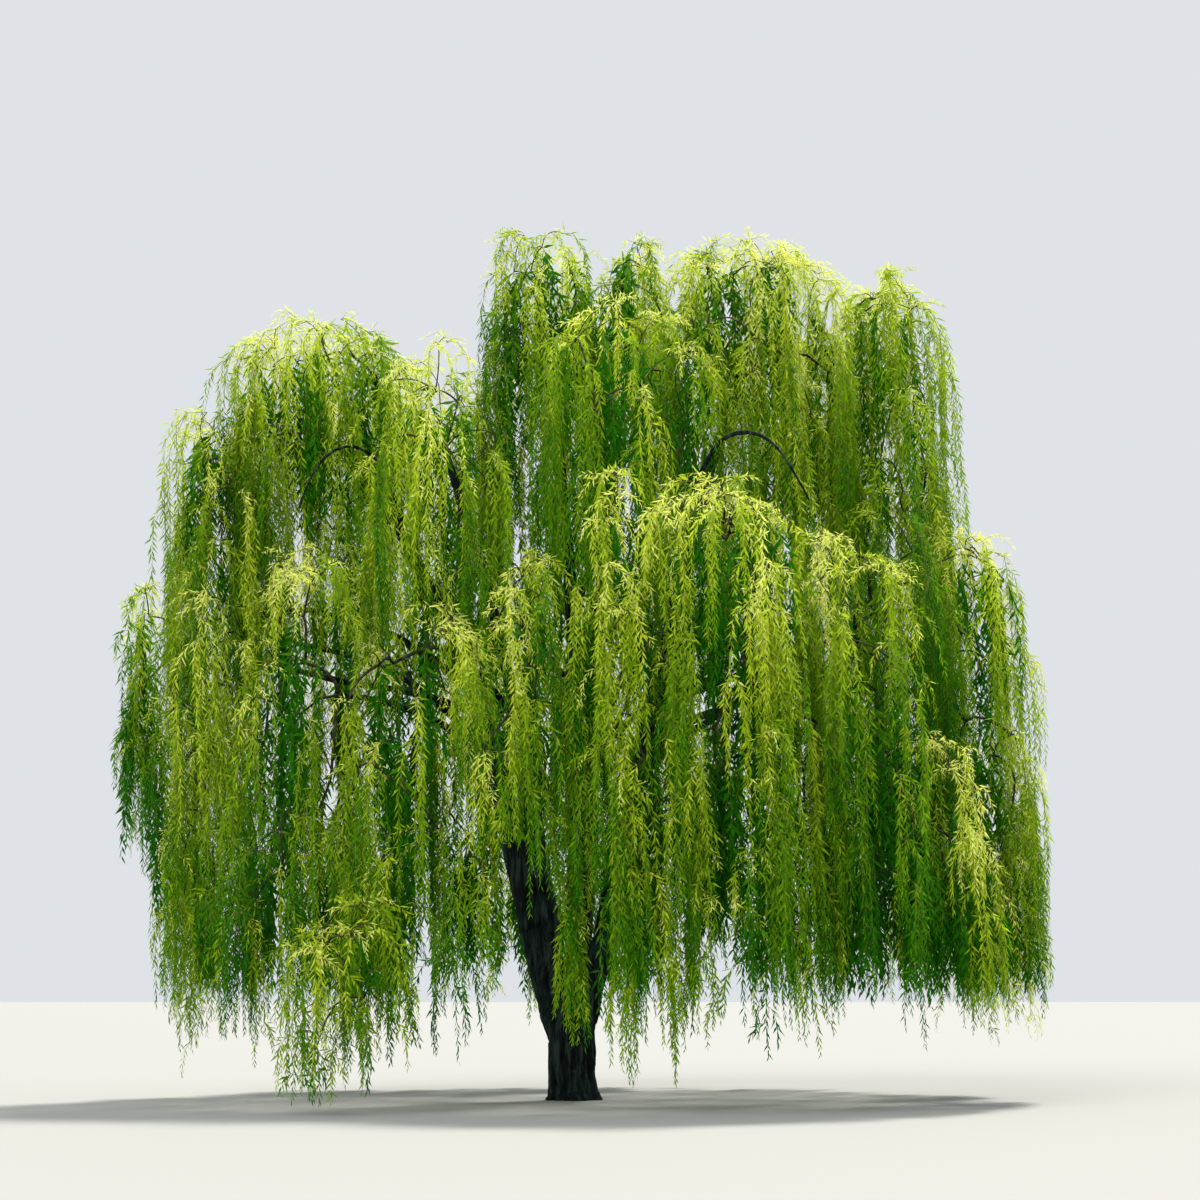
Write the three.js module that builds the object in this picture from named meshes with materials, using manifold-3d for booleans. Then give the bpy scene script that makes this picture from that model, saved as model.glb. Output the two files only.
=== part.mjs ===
// Weeping willow tree: a trunk on a root flare, five main limbs, the boughs that leave them,
// and the masses of hanging foliage that the boughs end in.
// Millimetres, +Z up. The origin is the centre of the flat cut at ground level. -Y is the side that is seen.
import * as THREE from "three";
import { mergeVertices } from "three/addons/utils/BufferGeometryUtils.js";
import Module from "manifold-3d";

const wasm = await Module();
wasm.setup();

// Shared sizes
const GAP = 0.3; // between solids that touch
const SHARPEST = 0.35; // keeps the gap small at a sharp corner
const TURNS = 30; // steps to find the way out that all faces at a corner share
const TURN = 0.15; // size of such a step
const LIMB_SIDES = 8;
const LIMB_STEPS = 6;
const BOUGH_SIDES = 6;
const BOUGH_STEPS = 5;
const LEAVE_REACH = 0.42; // how far a bough holds the way it leaves its limb, as a share of its length
const ARRIVE_REACH = 0.36; // and the way it comes down into its mass
const TAPER = 0.8; // below 1 a limb thins sooner near its foot
const MASS_SIDES = 12;
const MASS_LEVELS = [0.03, 0.1, 0.25, 0.5, 0.75, 1]; // ring heights, as shares of the drop from crest to hem
const UNEVEN = 0.13; // how far a mass swells and shrinks, as a share of its half width
const TIERS = 0.07; // how far its rings differ in size from one height to the next
const RAGGED_HEM = 420; // how far the hem's tips differ in height
const UNDER_SAG = 100; // how far the middle of its underside hangs below a straight line from side to side
const INNER_HEM = 0.22; // how much shorter the side towards the trunk hangs, as a share of the drop
const HEM_WIDTH = 0.84; // width at the hem, as a share of the mass's width, where its row states none

// Trunk: half widths of the straight shaft, the root flare round its foot and the fork at its top
const SHAFT_X = 350;
const SHAFT_Y = 325;
const FLARE = 75; // added at ground level, between the root ridges
const ROOT_RIDGES = 5;
const RIDGE = 38; // how far a root ridge stands out at ground level
const RIDGE_TURN = 0.6; // radians from +X to the first root ridge
const FLARE_HEIGHT = 150; // over which the flare falls to about a third
const FORK_HEIGHT = 1080; // where the shaft starts to round over
const TRUNK_TOP = 1400;
const TRUNK_LEVELS = [0, 60, 160, 330, 620, FORK_HEIGHT, 1240, 1350]; // ring heights
const TRUNK_SIDES = 20;
const TRUNK_LEAN = -30; // sideways shift of the fork

// Main limbs: start and end of the axis, two points that it bends towards, and the radius at each end
const LIMBS = [
  {
    name: "left_limb",
    path: [[-130, 0, 1000], [-950, 0, 3000], [-1000, -100, 6500], [-3400, -200, 9600]],
    radii: [255, 75],
  },
  {
    name: "right_limb",
    path: [[130, 0, 1000], [700, -100, 3000], [1100, -300, 6600], [2500, -500, 10600]],
    radii: [190, 75],
  },
  {
    name: "centre_limb",
    path: [[10, 110, 1050], [60, 250, 4000], [100, 350, 7500], [-400, 300, 11200]],
    radii: [165, 60],
  },
  {
    name: "left_second_limb",
    path: [[-110, -120, 1050], [-420, -360, 3000], [-700, -1000, 6300], [-1850, -1750, 9300]],
    radii: [150, 60],
  },
  {
    name: "back_limb",
    path: [[40, 180, 1050], [300, 700, 3200], [300, 1500, 6300], [500, 2700, 10000]],
    radii: [170, 65],
  },
];

// Masses of foliage: place of the crest, heights of crest and hem, width across and depth away from the
// trunk, the share of the height that the rounded top takes, how far the hem drifts to the right, how wide
// the hem is, as a share of the whole width, and how far the crest leans back towards the trunk.
const MASSES = [
  // The upper crown
  { name: "top_left", x: -3800, y: -200, crest: 11650, hem: 6700, wide: 3200, deep: 2600, dome: 0.26 },
  { name: "top_centre", x: -450, y: 300, crest: 13250, hem: 7700, wide: 2500, deep: 1750, dome: 0.28 },
  { name: "top_centre_right", x: 850, y: 100, crest: 13100, hem: 8300, wide: 2600, deep: 1500, dome: 0.28 },
  { name: "top_right", x: 2700, y: -400, crest: 12850, hem: 6900, wide: 3300, deep: 2750, dome: 0.22 },
  { name: "top_right_outer", x: 4700, y: 200, crest: 12450, hem: 6000, wide: 3200, deep: 1800, dome: 0.28 },
  { name: "upper_front", x: 700, y: -2150, crest: 11500, hem: 7200, wide: 2400, deep: 2300, dome: 0.3 },
  {
    name: "upper_front_left",
    x: -1900, y: -1800, crest: 10950, hem: 6100, wide: 2300, deep: 2100,
    dome: 0.36,
  },
  { name: "upper_left", x: -5250, y: -600, crest: 10200, hem: 5500, wide: 2900, deep: 1400, dome: 0.24 },
  { name: "top_back", x: 500, y: 2600, crest: 12400, hem: 7600, wide: 3000, deep: 2700, dome: 0.26 },
  { name: "top_back_left", x: -2300, y: 2200, crest: 11400, hem: 6900, wide: 3000, deep: 2700, dome: 0.26 },
  { name: "top_back_right", x: 3300, y: 2500, crest: 12000, hem: 6600, wide: 3000, deep: 2600, dome: 0.24 },
  // The curtains that face the front
  {
    name: "front_peak",
    x: 650, y: -4450, crest: 8750, hem: 900, wide: 1700, deep: 1700,
    dome: 0.5, drift: 250, back: 400,
  },
  {
    name: "front_shoulder",
    x: -600, y: -4150, crest: 7600, hem: 950, wide: 1750, deep: 1600,
    dome: 0.24, drift: -450, tail: 0.6, back: 700,
  },
  {
    name: "front_plateau",
    x: 2400, y: -4350, crest: 8650, hem: 1200, wide: 2400, deep: 1900,
    dome: 0.14, drift: -100, tail: 0.85, back: 800,
  },
  {
    name: "front_right",
    x: 3900, y: -3800, crest: 7950, hem: 1150, wide: 1900, deep: 1600,
    dome: 0.22, drift: 100, back: 600,
  },
  {
    name: "front_right_low",
    x: 4950, y: -2900, crest: 5300, hem: 1200, wide: 2000, deep: 1600,
    dome: 0.35, drift: 250, back: 300,
  },
  {
    name: "front_left",
    x: -2450, y: -3600, crest: 7000, hem: 1000, wide: 1950, deep: 1700,
    dome: 0.24, drift: 100, back: 700,
  },
  {
    name: "front_left_outer",
    x: -4050, y: -2900, crest: 7750, hem: 850, wide: 1950, deep: 1600,
    dome: 0.28, drift: 100, back: 400,
  },
  {
    name: "low_left_spray",
    x: -2950, y: -4800, crest: 2850, hem: 270, wide: 1400, deep: 1400,
    dome: 0.5, tail: 0.7, back: 300,
  },
  // The curtains at the sides
  {
    name: "left_curtain",
    x: -5450, y: -1700, crest: 7750, hem: 600, wide: 1900, deep: 1400,
    dome: 0.2, drift: 500, tail: 0.6, back: 200,
  },
  {
    name: "left_tip",
    x: -6350, y: -150, crest: 7650, hem: 3900, wide: 1900, deep: 850,
    dome: 0.35, drift: 200, tail: 0.6,
  },
  {
    name: "left_back_curtain",
    x: -5350, y: 900, crest: 8900, hem: 1200, wide: 2700, deep: 1600,
    dome: 0.22, drift: 150, back: 500,
  },
  {
    name: "right_inner",
    x: 4650, y: -1500, crest: 8700, hem: 3200, wide: 2100, deep: 1700,
    dome: 0.25, back: 200,
  },
  {
    name: "right_curtain",
    x: 6000, y: -500, crest: 8450, hem: 1400, wide: 2700, deep: 1450,
    dome: 0.15, drift: 100, tail: 0.75, back: 200,
  },
  {
    name: "right_back_curtain",
    x: 5400, y: 1900, crest: 8200, hem: 1300, wide: 2900, deep: 1600,
    dome: 0.2, drift: 100, back: 500,
  },
  // The curtains at the back
  {
    name: "back_right",
    x: 3700, y: 4000, crest: 7900, hem: 1100, wide: 2900, deep: 1900,
    dome: 0.2, drift: 150, back: 700,
  },
  {
    name: "back_centre_right",
    x: 1400, y: 4800, crest: 8500, hem: 950, wide: 2700, deep: 1900,
    dome: 0.26, back: 800,
  },
  {
    name: "back_centre_left",
    x: -1150, y: 4600, crest: 7600, hem: 1100, wide: 2800, deep: 1900,
    dome: 0.18, drift: 100, back: 800,
  },
  {
    name: "back_left",
    x: -3600, y: 3500, crest: 8100, hem: 1000, wide: 3000, deep: 1800,
    dome: 0.3, drift: 150, back: 700,
  },
];

// Boughs: the limb that each leaves and where, as a share of the limb's length; the mass it ends in; how far
// below that mass's crest; how steeply it leaves and how steeply it comes down, in degrees; end radii.
const BOUGHS = [
  ["right_limb", 0.42, "front_plateau", { below: 1500, rise: 45, fall: -10, radii: [95, 45] }],
  ["right_limb", 0.36, "front_right", { below: 1300, rise: 60, fall: 15, radii: [80, 40] }],
  ["right_limb", 0.22, "front_right_low", { below: 900, rise: 45, fall: 20, radii: [75, 35] }],
  ["right_limb", 0.38, "right_inner", { below: 2500, rise: 40, fall: 0, radii: [80, 40] }],
  ["right_limb", 0.4, "right_curtain", { below: 2600, rise: 45, fall: 5, radii: [85, 40] }],
  ["right_limb", 0.48, "top_right_outer", { below: 5200, rise: 30, fall: -35, radii: [80, 40] }],
  ["right_limb", 0.52, "right_back_curtain", { below: 1500, rise: 55, fall: 10, radii: [75, 35] }],
  ["centre_limb", 0.38, "front_peak", { below: 1500, rise: 65, fall: 10, radii: [85, 40] }],
  ["centre_limb", 0.55, "upper_front", { below: 2900, rise: 65, fall: -30, radii: [75, 40] }],
  ["centre_limb", 0.66, "top_centre_right", { below: 3600, rise: 70, fall: -60, radii: [60, 40] }],
  ["left_second_limb", 0.4, "front_shoulder", { below: 1200, rise: 60, fall: 15, radii: [75, 35] }],
  ["left_second_limb", 0.5, "front_left", { below: 900, rise: 50, fall: 20, radii: [70, 35] }],
  ["left_limb", 0.44, "front_left_outer", { below: 2100, rise: 32, fall: 5, radii: [80, 35] }],
  ["left_limb", 0.56, "left_curtain", { below: 1000, rise: 45, fall: 15, radii: [80, 35] }],
  ["left_limb", 0.52, "upper_left", { below: 3650, rise: 22, fall: -25, radii: [75, 35] }],
  ["left_limb", 0.45, "left_back_curtain", { below: 2100, rise: 50, fall: 5, radii: [80, 35] }],
  ["back_limb", 0.42, "back_centre_right", { below: 1400, rise: 55, fall: 15, radii: [80, 35] }],
  ["back_limb", 0.36, "back_centre_left", { below: 1300, rise: 55, fall: 15, radii: [75, 35] }],
  ["back_limb", 0.45, "back_right", { below: 1500, rise: 50, fall: 12, radii: [80, 35] }],
  ["back_limb", 0.3, "back_left", { below: 1800, rise: 50, fall: 10, radii: [80, 35] }],
  ["back_limb", 0.6, "top_back_right", { below: 4100, rise: 60, fall: -30, radii: [70, 40] }],
  ["back_limb", 0.5, "top_back_left", { below: 3000, rise: 60, fall: -25, radii: [70, 40] }],
];

// Materials
const CURTAIN_TOP = 9500; // masses with a higher crest belong to the upper crown
const bark = new THREE.MeshStandardMaterial({ color: 0x2b2d27, roughness: 0.95, metalness: 0 });
const upperLeaves = new THREE.MeshStandardMaterial({ color: 0x8fa82c, roughness: 0.7, metalness: 0 });
const curtainLeaves = new THREE.MeshStandardMaterial({ color: 0x587f1c, roughness: 0.7, metalness: 0 });

// A closed solid from a stack of rings of points, with an apex that closes each end.
function stacked(rings, first, last) {
  const sides = rings[0].length;
  const points = [first, ...rings.flat(), last];
  const faces = [];
  const at = (ring, side) => 1 + ring * sides + (side % sides);
  for (let side = 0; side < sides; side += 1) {
    faces.push(0, at(0, side + 1), at(0, side));
    faces.push(points.length - 1, at(rings.length - 1, side), at(rings.length - 1, side + 1));
    for (let ring = 0; ring < rings.length - 1; ring += 1) {
      faces.push(at(ring, side), at(ring, side + 1), at(ring + 1, side + 1));
      faces.push(at(ring, side), at(ring + 1, side + 1), at(ring + 1, side));
    }
  }
  const geometry = new THREE.BufferGeometry();
  geometry.setAttribute("position", new THREE.Float32BufferAttribute(points.flatMap((p) => p.toArray()), 3));
  geometry.setIndex(faces);
  return geometry;
}

// The trunk, from the flat cut at the ground up to the rounded fork
function trunkGeometry() {
  const rings = TRUNK_LEVELS.map((height) => {
    const foot = Math.exp(-height / FLARE_HEIGHT);
    const above = Math.max(0, height - FORK_HEIGHT) / (TRUNK_TOP - FORK_HEIGHT);
    const round = Math.sqrt(1 - above * above);
    const shift = (TRUNK_LEAN * height) / TRUNK_TOP;
    return Array.from({ length: TRUNK_SIDES }, (_, side) => {
      const angle = (2 * Math.PI * side) / TRUNK_SIDES;
      const ridge = FLARE + RIDGE * Math.cos(ROOT_RIDGES * angle + RIDGE_TURN);
      return new THREE.Vector3(
        shift + (SHAFT_X * round + ridge * foot) * Math.cos(angle),
        (SHAFT_Y * round + ridge * foot) * Math.sin(angle),
        height,
      );
    });
  });
  return stacked(rings, new THREE.Vector3(0, 0, 0), new THREE.Vector3(TRUNK_LEAN, 0, TRUNK_TOP));
}

// A tapering limb round a smooth axis
function limbGeometry(curve, radii, sides, steps) {
  let across = new THREE.Vector3(0, 1, 0);
  const rings = [];
  for (let step = 0; step <= steps; step += 1) {
    const share = step / steps;
    const along = curve.getTangentAt(share);
    across = across.clone().addScaledVector(along, -across.dot(along)).normalize();
    const aside = new THREE.Vector3().crossVectors(along, across);
    const radius = THREE.MathUtils.lerp(radii[0], radii[1], share ** TAPER);
    const centre = curve.getPointAt(share);
    rings.push(
      Array.from({ length: sides }, (_, side) => {
        const angle = (2 * Math.PI * side) / sides;
        return centre
          .clone()
          .addScaledVector(across, radius * Math.cos(angle))
          .addScaledVector(aside, radius * Math.sin(angle));
      }),
    );
  }
  return stacked(rings, curve.getPointAt(0), curve.getPointAt(1));
}

// A mass of hanging foliage: a rounded top on a long curtain with an uneven face and a ragged hem, which
// hangs lowest on the side away from the trunk
function massGeometry(mass, index) {
  const outward = Math.atan2(mass.y, mass.x);
  const drift = mass.drift ?? 0;
  const narrowing = 1 - (mass.tail ?? HEM_WIDTH);
  const drop = mass.crest - mass.hem;
  const back = mass.back ?? 0;
  const wave = (share, angle, lobes, turn) => Math.sin(lobes * angle + turn * index + 5 * share);
  const rings = MASS_LEVELS.map((share) => {
    const capped = Math.min(share / mass.dome, 1);
    const tier = 1 + TIERS * Math.sin(14 * share + 1.9 * index) * (1 - share);
    const round = Math.sqrt(1 - (1 - capped) ** 2) * (tier - narrowing * share ** 3);
    return Array.from({ length: MASS_SIDES }, (_, side) => {
      const angle = (2 * Math.PI * side) / MASS_SIDES;
      const swell = 1 + UNEVEN * (0.6 * wave(share, angle, 2, 2.1) + 0.4 * wave(share, angle, 5, 3.7));
      const away = (mass.deep / 2) * round * swell * Math.cos(angle) - back * (1 - share) ** 3;
      const aside = (mass.wide / 2) * round * swell * Math.sin(angle);
      const inner = INNER_HEM * share * (0.5 - 0.5 * Math.cos(angle));
      const lift = RAGGED_HEM * share ** 4 * (0.5 + 0.5 * wave(1, angle, 3, 1.3));
      return new THREE.Vector3(
        mass.x + drift * share + away * Math.cos(outward) - aside * Math.sin(outward),
        mass.y + away * Math.sin(outward) + aside * Math.cos(outward),
        mass.crest - drop * share * (1 - inner) + lift,
      );
    });
  });
  const crest = new THREE.Vector3(
    mass.x - back * Math.cos(outward),
    mass.y - back * Math.sin(outward),
    mass.crest,
  );
  const middle = mass.hem + (INNER_HEM * drop) / 2 - UNDER_SAG;
  const under = new THREE.Vector3(mass.x + drift, mass.y, middle);
  const geometry = stacked(rings, crest, under);
  geometry.index.array.reverse(); // the rings run downwards, so the faces are turned to look out
  return geometry;
}

// The axis of a bough, from a point on its limb, up and over, down into its mass
function boughCurve(bough, start, mass) {
  const end = new THREE.Vector3(mass.x, mass.y, mass.crest - bough.below);
  const length = start.distanceTo(end);
  const level = new THREE.Vector3(end.x - start.x, end.y - start.y, 0).normalize();
  const towards = (degrees) => {
    const slope = THREE.MathUtils.degToRad(degrees);
    return level.clone().multiplyScalar(Math.cos(slope)).setZ(Math.sin(slope));
  };
  return new THREE.CubicBezierCurve3(
    start,
    start.clone().addScaledVector(towards(bough.rise), LEAVE_REACH * length),
    end.clone().addScaledVector(towards(-bough.fall), -ARRIVE_REACH * length),
    end,
  );
}

// Booleans
function solidOf(geometry) {
  const merged = mergeVertices(geometry, 1e-3);
  return new wasm.Manifold(
    new wasm.Mesh({
      numProp: 3,
      vertProperties: merged.attributes.position.array,
      triVerts: new Uint32Array(merged.index.array),
    }),
  );
}

function geometryOf(solid) {
  const mesh = solid.getMesh();
  const geometry = new THREE.BufferGeometry();
  geometry.setAttribute("position", new THREE.BufferAttribute(mesh.vertProperties, 3));
  geometry.setIndex(new THREE.BufferAttribute(mesh.triVerts, 1));
  return geometry.toNonIndexed();
}

// The same shape with each face moved out by the gap, which cuts its neighbours clear
function grown(geometry) {
  const { position } = geometry.attributes;
  const index = geometry.index.array;
  const corners = Array.from(
    { length: position.count },
    (_, i) => new THREE.Vector3().fromBufferAttribute(position, i),
  );
  const facesAt = corners.map(() => []);
  for (let i = 0; i < index.length; i += 3) {
    const face = [...index.slice(i, i + 3)];
    const triangle = new THREE.Triangle(...face.map((corner) => corners[corner]));
    const normal = triangle.getNormal(new THREE.Vector3());
    face.forEach((corner) => facesAt[corner].push(normal));
  }
  const moved = corners.flatMap((corner, i) => {
    const way = facesAt[i].reduce((sum, normal) => sum.add(normal), new THREE.Vector3()).normalize();
    const least = () => facesAt[i].reduce((a, b) => (a.dot(way) < b.dot(way) ? a : b));
    for (let turn = 0; turn < TURNS; turn += 1) {
      way.addScaledVector(least(), TURN).normalize();
    }
    return corner.clone().addScaledVector(way, GAP / Math.max(least().dot(way), SHARPEST)).toArray();
  });
  const wide = new THREE.BufferGeometry();
  wide.setAttribute("position", new THREE.Float32BufferAttribute(moved, 3));
  wide.setIndex([...index]);
  return solidOf(wide);
}

function largestOf(solid) {
  return solid.decompose().sort((a, b) => b.volume() - a.volume())[0];
}

// Assembly: the trunk and the masses keep their shape, and what comes later is cut to meet what is there
const willow = new THREE.Group();
const placed = [];

function place(name, geometry, material) {
  const piece = placed.reduce((left, cutter) => left.subtract(cutter), solidOf(geometry));
  placed.push(grown(geometry));
  const mesh = new THREE.Mesh(geometryOf(largestOf(piece)), material);
  mesh.geometry.computeVertexNormals();
  mesh.name = name;
  willow.add(mesh);
}

place("trunk", trunkGeometry(), bark);

MASSES.forEach((mass, index) => {
  place(mass.name, massGeometry(mass, index), mass.crest > CURTAIN_TOP ? upperLeaves : curtainLeaves);
});

const limbCurves = new Map();
for (const limb of LIMBS) {
  const curve = new THREE.CubicBezierCurve3(...limb.path.map((point) => new THREE.Vector3(...point)));
  limbCurves.set(limb.name, curve);
  place(limb.name, limbGeometry(curve, limb.radii, LIMB_SIDES, LIMB_STEPS), bark);
}

for (const [limb, share, target, bough] of BOUGHS) {
  const mass = MASSES.find((one) => one.name === target);
  const curve = boughCurve(bough, limbCurves.get(limb).getPointAt(share), mass);
  place(`bough_to_${target}`, limbGeometry(curve, bough.radii, BOUGH_SIDES, BOUGH_STEPS), bark);
}

export default willow;
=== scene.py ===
"""Weeping willow tree: the looks of the tree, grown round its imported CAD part.

Metres, +Z up. -Y is the side that is seen, and the trunk stands at the origin.
"""
import math

import bpy
import numpy as np
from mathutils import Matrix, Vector, noise
from mathutils.bvhtree import BVHTree
from numpy.linalg import norm


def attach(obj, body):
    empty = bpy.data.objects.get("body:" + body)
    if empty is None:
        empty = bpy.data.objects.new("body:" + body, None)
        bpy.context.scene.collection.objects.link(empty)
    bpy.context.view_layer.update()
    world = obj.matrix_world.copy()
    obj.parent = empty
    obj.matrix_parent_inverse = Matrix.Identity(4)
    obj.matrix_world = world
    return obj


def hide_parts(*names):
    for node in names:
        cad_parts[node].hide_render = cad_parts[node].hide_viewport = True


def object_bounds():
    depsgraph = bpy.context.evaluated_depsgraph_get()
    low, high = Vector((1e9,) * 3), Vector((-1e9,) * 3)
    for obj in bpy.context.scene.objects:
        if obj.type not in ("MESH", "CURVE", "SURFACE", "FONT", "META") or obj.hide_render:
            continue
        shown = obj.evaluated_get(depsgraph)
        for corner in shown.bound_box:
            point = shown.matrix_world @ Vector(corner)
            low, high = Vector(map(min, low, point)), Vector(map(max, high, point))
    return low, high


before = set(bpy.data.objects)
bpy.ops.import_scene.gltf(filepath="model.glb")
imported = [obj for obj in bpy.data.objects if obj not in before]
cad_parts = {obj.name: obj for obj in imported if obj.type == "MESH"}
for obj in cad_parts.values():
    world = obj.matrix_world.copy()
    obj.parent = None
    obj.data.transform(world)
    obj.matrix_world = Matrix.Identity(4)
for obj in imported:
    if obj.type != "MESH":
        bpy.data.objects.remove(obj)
cad_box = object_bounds()
SEED = 41
FIRST_BOUGH_SEED = 20
noise.seed_set(SEED)

# The CAD nodes, by what they stand for
NODES = sorted(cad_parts)
LIMBS = [name for name in NODES if name.endswith("_limb")]
BOUGHS = [name for name in NODES if name.startswith("bough_to_")]
MASSES = [name for name in NODES if name not in LIMBS + BOUGHS + ["trunk"]]
UPPER = [name for name in MASSES if name.startswith(("top_", "upper_"))]
SLOTS = {name: "upper_foliage" if name in UPPER else "curtain_foliage" for name in MASSES}

UP = np.array([0.0, 0.0, 1.0])
TURN = 2 * math.pi
TINY = 0.001

# Main limbs: start and end of the axis, two points that it bends towards, and the radius at each end
LIMB_PATHS = {
    "left_limb": ([(-0.13, 0, 1.0), (-0.95, 0, 3.0), (-1.0, -0.1, 6.5), (-3.4, -0.2, 9.6)], 0.255, 0.075),
    "right_limb": ([(0.13, 0, 1.0), (0.7, -0.1, 3.0), (1.1, -0.3, 6.6), (2.5, -0.5, 10.6)], 0.19, 0.075),
    "centre_limb": (
        [(0.01, 0.11, 1.05), (0.06, 0.25, 4.0), (0.1, 0.35, 7.5), (-0.4, 0.3, 11.2)], 0.165, 0.06
    ),
    "left_second_limb": (
        [(-0.11, -0.12, 1.05), (-0.42, -0.36, 3.0), (-0.7, -1.0, 6.3), (-1.85, -1.75, 9.3)], 0.15, 0.06
    ),
    "back_limb": ([(0.04, 0.18, 1.05), (0.3, 0.7, 3.2), (0.3, 1.5, 6.3), (0.5, 2.7, 10.0)], 0.17, 0.065),
}
LIMB_TAPER = 0.8  # below 1 a limb thins sooner near its foot
CURVE_POINTS = 100

# Boughs that show in the open between two masses: the limb that each leaves, where on it, two points that
# it bends towards, its tip, and the radius at each end
OPEN_BOUGHS = [
    ("right_limb", 0.72, [(1.5, -3.5, 9.2), (2.6, -3.4, 9.9), (3.3, -3.2, 8.3)], 0.055, 0.016),
    ("left_limb", 0.82, [(-2.8, -1.8, 9.6), (-3.4, -2.2, 9.7), (-3.9, -2.0, 8.4)], 0.04, 0.012),
]

# Bark
BARK_VOXEL = 0.018
STUMP_LENGTH = 1.75  # of each limb, which is one skin with the trunk
STUMP_SMOOTHING = 6
FURROWS = (13.0, 13.0, 2.1)  # furrows to the metre, across and along
FURROW_DEPTH = 0.032
SWELLS = 2.2  # larger swellings to the metre
SWELL_DEPTH = 0.03
FURROW_BEND = 1.6  # how much the furrows wander, in furrows
CRACK_STEEPNESS = 2.6  # above 1 the cracks are narrower than the ridges
LIMB_STEP = 0.12  # between the slices that give a bough's axis
LIMB_SLICES = 400  # at most
FOOT_CORNERS = 0.35  # corners this near to a bough's foot are its end
LEADING_CORNERS = 1.6  # and corners this near show which way it leads
WIDEST_SLICE = 0.75
BOUGH_SMOOTHING = 3
LIMB_SIDES = 26
LIMB_RING = 0.1
BOUGH_SIDES = 12
BOUGH_RING = 0.16
BURIED = 0.3  # how far a bough's foot runs on into its limb
BOUGH_WANDER = 0.05  # how far a limb's axis strays from a smooth curve
WANDER_SHARES = (1.0, 1.4, 2.0)  # of that, on limbs, boughs and open boughs
WANDER_WAVES = 0.9  # to the metre
STUMP_ENDS = (0.93, 0.8)  # how far the last rings of a limb's foot draw in
LIMB_RELIEF = 0.6  # of the furrows' depth on the trunk
BOUGH_RELIEF = 0.4

# Foliage: locks of hanging twigs, and how they stand in a mass
LOCKS_TO_A_SQUARE_METRE = 1.14
LOCK_SPACING = 0.29
CANDIDATES = 14  # places tried to the square metre
CREST_SLOPE = 0.4  # how far up a face of a mass's top looks, from 0 to 1
UNDER_SLOPE = -0.35  # below this it is the underside, where no lock starts
INNER_SLOPE = -0.1  # how far outward it looks, below which it faces the trunk
COVER_START = 0.03  # another mass covers a face between this far off
COVER_REACH = 0.5  # and this far
SHARE_INNER = 0.35  # how dense the side towards the trunk is, beside the outer side
SHARE_BURIED = 0.16  # and what another mass covers
SHARE_CREST = {"upper_foliage": 3.8, "curtain_foliage": 2.9}  # and a mass's top
SIDE_DEPTH = 0.1  # how far inside a side a lock starts, at least
DEPTH_SPREAD = 0.22

# Locks on the open side of a mass, on the side towards the trunk, in its core, and added to fill it: the
# size of their leaves, how much darker they are as painted shade inside the crown, and how many side twigs
# they have beside the first kind
OPEN, INNER, CORE, FILLER = range(4)
LEAF_SIZES = np.array([0.93, 1.1, 1.25, 1.45])
PAINTED_SHADE_OF_KIND = np.array([0.0, 0.18, 0.3, 0.34])
TWIG_SHARES = np.array([1.0, 0.6, 0.55, 0.7])

# Masses unlike the others: how many locks they have beside the usual, how much lighter their leaves are
# as painted light and shade (darker where below 0), and how much lower their locks hang
LIKE_THE_OTHERS = (1, 0, 0)
UNLIKE = {
    "back_centre_left": (0.9, 0, 0),
    "back_centre_right": (0.85, 0, 0),
    "back_left": (0.8, 0, 0),
    "back_right": (0.85, 0, 0),
    "front_left": (1.15, 0.12, 0.25),
    "front_peak": (1.3, 0.07, 0.35),
    "front_plateau": (1.3, 0.08, 0.25),
    "front_right": (1, -0.08, 0.15),
    "front_right_low": (1, 0.16, 0),
    "front_shoulder": (1.45, 0.03, 0.3),
    "left_tip": (1.4, -0.08, 0),
    "low_left_spray": (1.6, -0.09, 0),
    "right_curtain": (1, 0.2, 0),
    "right_inner": (1, -0.2, 0),
    "top_back": (0.45, 0, 0),
    "top_back_left": (0.65, 0, 0),
    "top_back_right": (0.75, 0, 0),
    "top_centre": (1.15, -0.06, 0),
    "top_centre_right": (0.68, 0, 0),
    "top_left": (1.45, 0, 0),
    "top_right": (1.25, 0.1, 0),
    "top_right_outer": (1.35, 0, 0),
    "upper_front": (0.6, 0.04, 0),
    "upper_front_left": (0.85, 0.12, 0),
    "upper_left": (1.25, 0, 0),
}

# The slope at which strands leave their starts, in radians, and the length of their bend. The first of each
# pair is for a lock on a crest, and the second for the others.
LOCK_RISE = ((0.2, 1.0), (-0.3, 0.5))
LOCK_BEND = ((0.14, 0.36), (0.08, 0.22))
SIDE_RISE = (-0.9, 0.4)
SIDE_BEND = (0.05, 0.3)
SPRIG_RISE = ((0.0, 1.3), (-0.3, 0.9))
SPRIG_BEND = ((0.2, 0.5), (0.12, 0.34))
LOW_SPRIG_RISE = (-0.9, 0.3)
LOW_SPRIG_BEND = (0.06, 0.2)
HEADING_SPREAD = {"lock": 0.5, "sprig": 1.5, "tress": 0.6}

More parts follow.
